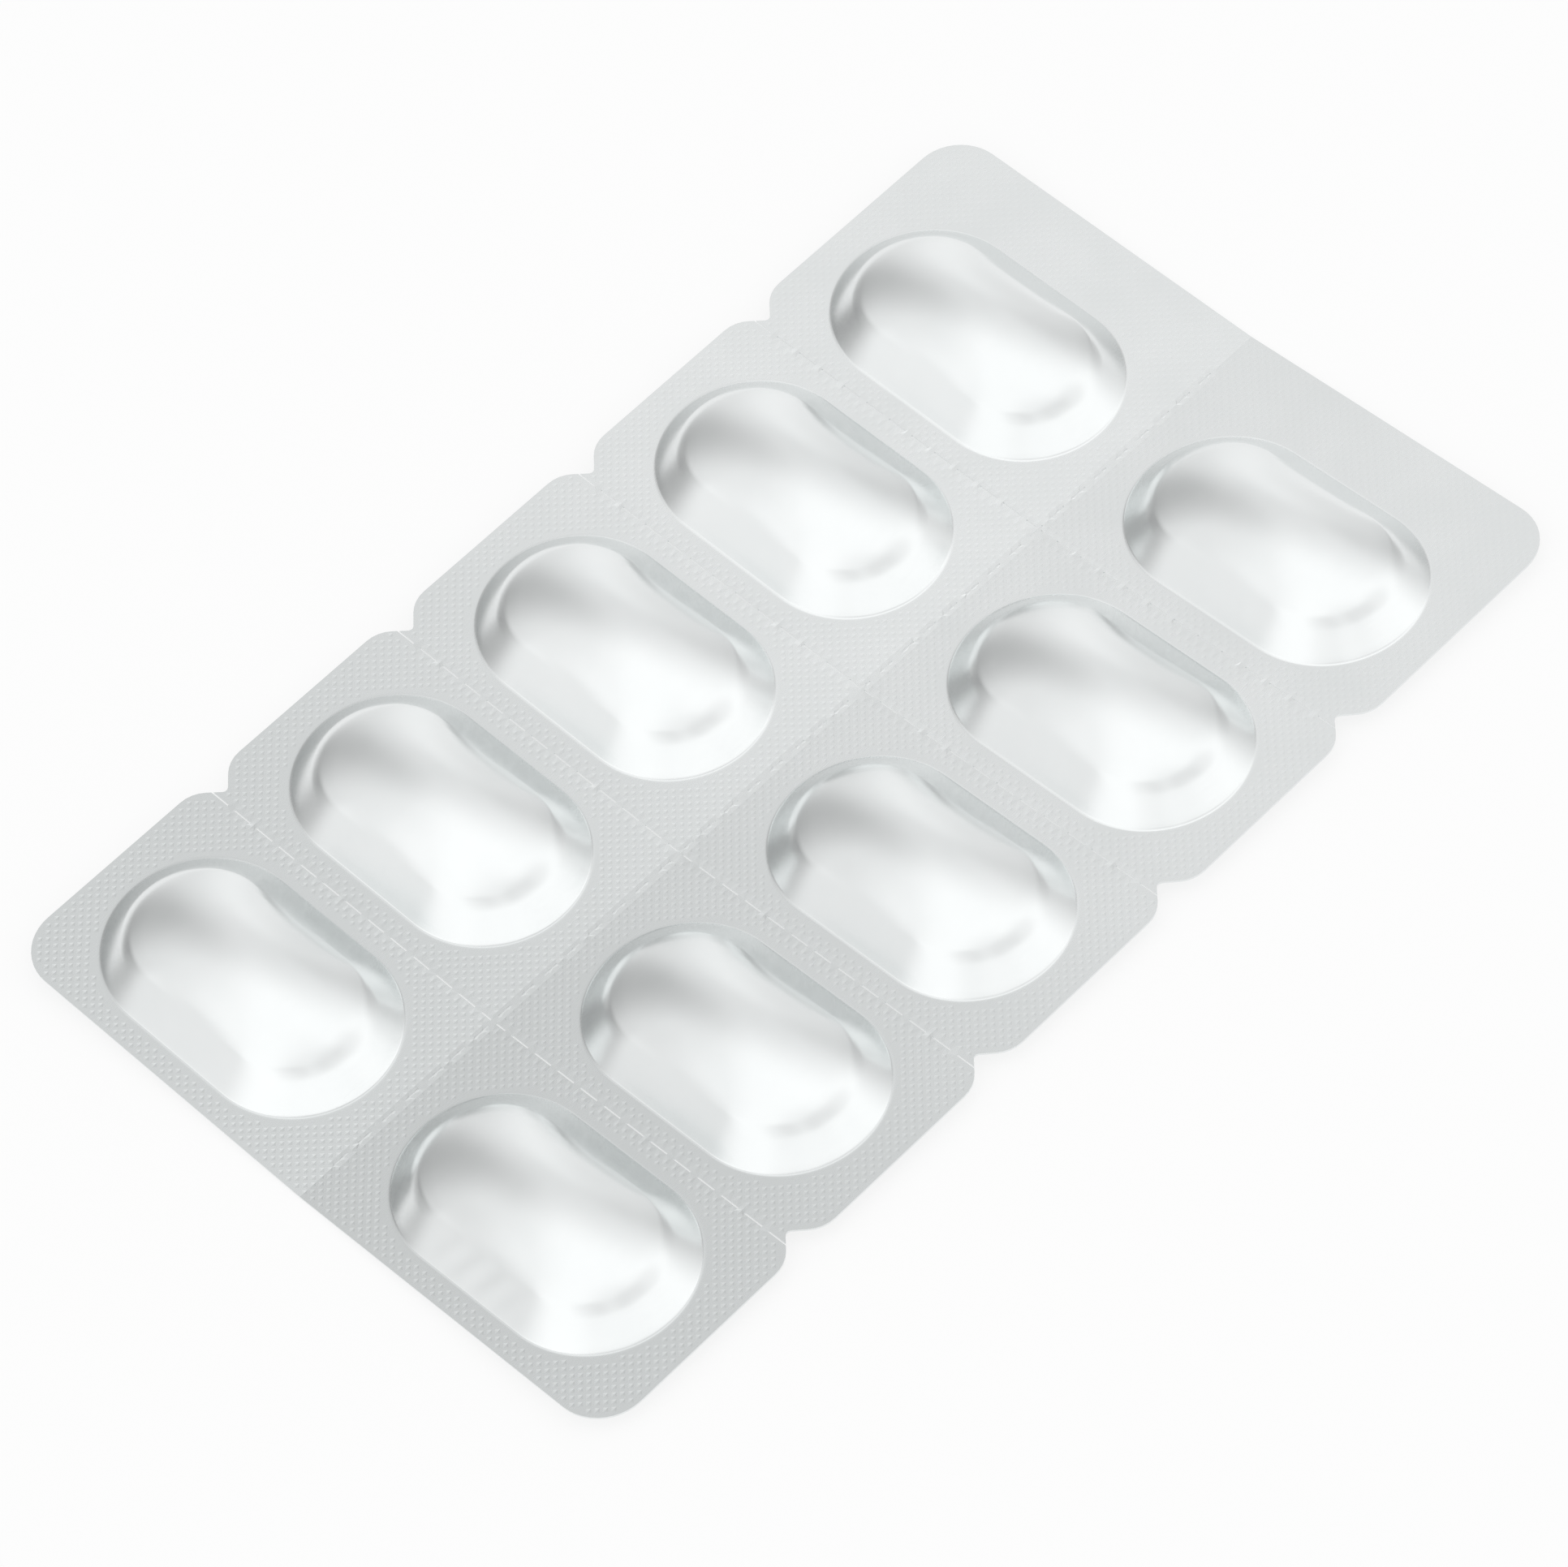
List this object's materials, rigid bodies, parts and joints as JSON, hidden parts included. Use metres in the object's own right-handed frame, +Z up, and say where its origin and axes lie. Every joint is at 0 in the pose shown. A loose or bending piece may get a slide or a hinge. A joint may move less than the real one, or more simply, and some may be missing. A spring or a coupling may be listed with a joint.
{
  "type": "pill blister pack",
  "caption": "Sealed foil blister pack with domed stadium pockets in two columns, dashed tear lines and notched long edges.",
  "frame": {"origin": "centre of the pack at the lowest line of its underside, the bend along the centre line", "axes": "+X along the pack's length, towards the wider blank margin; +Y across it; +Z up, out of the pockets"},
  "size_m": [0.1076, 0.066, 0.006],
  "materials": {
    "foil": "satin aluminium foil"
  },
  "bodies": {
    "root": {"blister_pack": "foil"}
  },
  "joints": []
}
